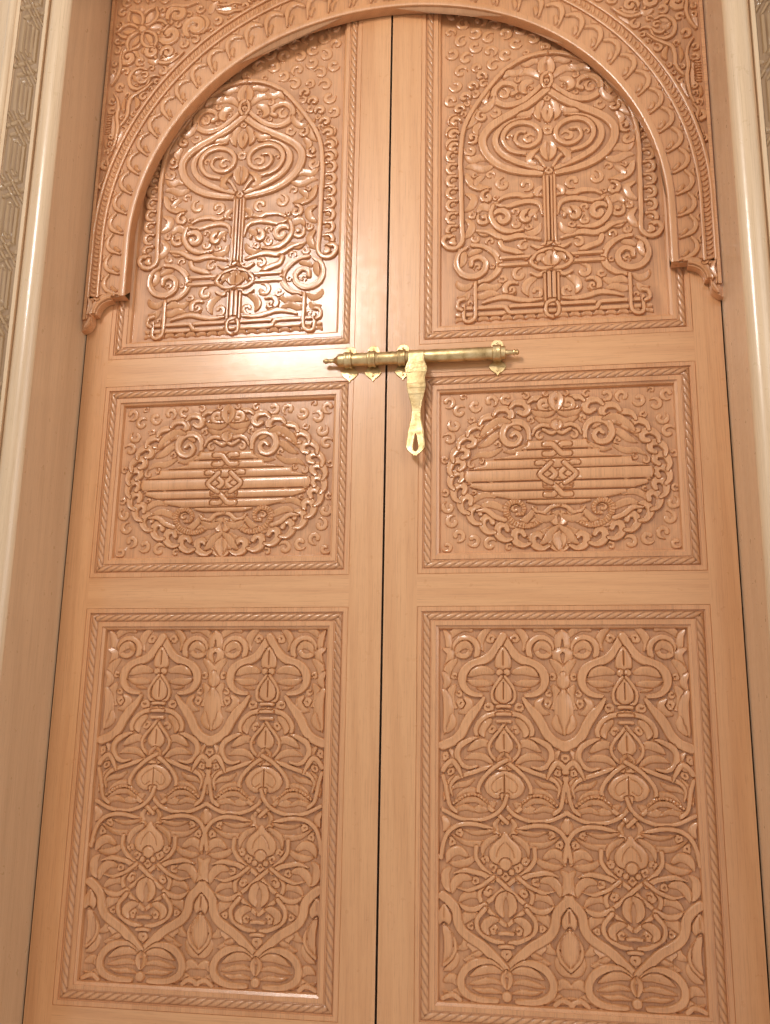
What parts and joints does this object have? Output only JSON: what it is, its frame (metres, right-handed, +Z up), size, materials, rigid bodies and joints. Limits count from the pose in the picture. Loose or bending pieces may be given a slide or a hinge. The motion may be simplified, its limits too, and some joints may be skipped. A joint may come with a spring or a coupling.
{
  "type": "double door",
  "caption": "Carved wooden double door in a deep frame with a casing, under a carved horseshoe-arch board, with a brass slide bolt and a hanging hasp.",
  "frame": {"origin": "on the floor, at the middle of the doorway and midway between the frame's front and the backs of the hinges", "axes": "+X to the right seen from the carved front, +Y to the rear, the way the leaves open, +Z up"},
  "size_m": [1.556, 0.255, 2.319],
  "materials": {
    "cedar_frame": "varnished, satin",
    "cedar_leaf": "varnished, satin",
    "cedar_carving": "varnished, glossy",
    "bolt_brass": "worn, dull",
    "hinge_steel": "dull"
  },
  "bodies": {
    "frame": {"arch_board": "cedar_carving", "head_casing": "cedar_carving", "head_lining": "cedar_frame", "head_outer_moulding": "cedar_frame", "head_round_bead": "cedar_frame", "left_casing": "cedar_carving", "left_hinge_frame_halves": "hinge_steel", "left_jamb": "cedar_frame", "left_outer_moulding": "cedar_frame", "left_round_bead": "cedar_frame", "right_casing": "cedar_carving", "right_hinge_frame_halves": "hinge_steel", "right_jamb": "cedar_frame", "right_outer_moulding": "cedar_frame", "right_round_bead": "cedar_frame"},
    "left_leaf": {"left_bottom_rail": "cedar_leaf", "left_hinge_leaf_halves": "hinge_steel", "left_hinge_stile": "cedar_leaf", "left_inner_keeper": "bolt_brass", "left_lock_rail": "cedar_leaf", "left_lower_moulding": "cedar_leaf", "left_lower_panel": "cedar_carving", "left_meeting_stile": "cedar_leaf", "left_middle_moulding": "cedar_leaf", "left_middle_panel": "cedar_carving", "left_middle_rail": "cedar_leaf", "left_outer_keeper": "bolt_brass", "left_top_rail": "cedar_leaf", "left_upper_moulding": "cedar_leaf", "left_upper_panel": "cedar_carving"},
    "right_leaf": {"right_bottom_rail": "cedar_leaf", "right_hinge_leaf_halves": "hinge_steel", "right_hinge_stile": "cedar_leaf", "right_inner_keeper": "bolt_brass", "right_lock_rail": "cedar_leaf", "right_lower_moulding": "cedar_leaf", "right_lower_panel": "cedar_carving", "right_meeting_stile": "cedar_leaf", "right_middle_moulding": "cedar_leaf", "right_middle_panel": "cedar_carving", "right_middle_rail": "cedar_leaf", "right_outer_keeper": "bolt_brass", "right_top_rail": "cedar_leaf", "right_upper_moulding": "cedar_leaf", "right_upper_panel": "cedar_carving"},
    "bolt": {"bolt_rod": "bolt_brass"},
    "hasp": {"hasp": "bolt_brass"}
  },
  "joints": [
    {"name": "left_leaf_hinge", "type": "hinge", "parent": "frame", "child": "left_leaf", "pos_m": [-0.61375, 0.1215, 1.08], "axis": [0, 0, 1], "range_deg": [0, 100]},
    {"name": "right_leaf_hinge", "type": "hinge", "parent": "frame", "child": "right_leaf", "pos_m": [0.61375, 0.1215, 1.08], "axis": [0, 0, -1], "range_deg": [0, 100]},
    {"name": "bolt_slide", "type": "slide", "parent": "right_leaf", "child": "bolt", "axis": [1, 0, 0], "range_m": [0, 0.126]},
    {"name": "hasp_swivel", "type": "hinge", "parent": "bolt", "child": "hasp", "pos_m": [0.06, 0.0535, 1.268], "axis": [-1, 0, 0], "range_deg": [0, 165]}
  ]
}
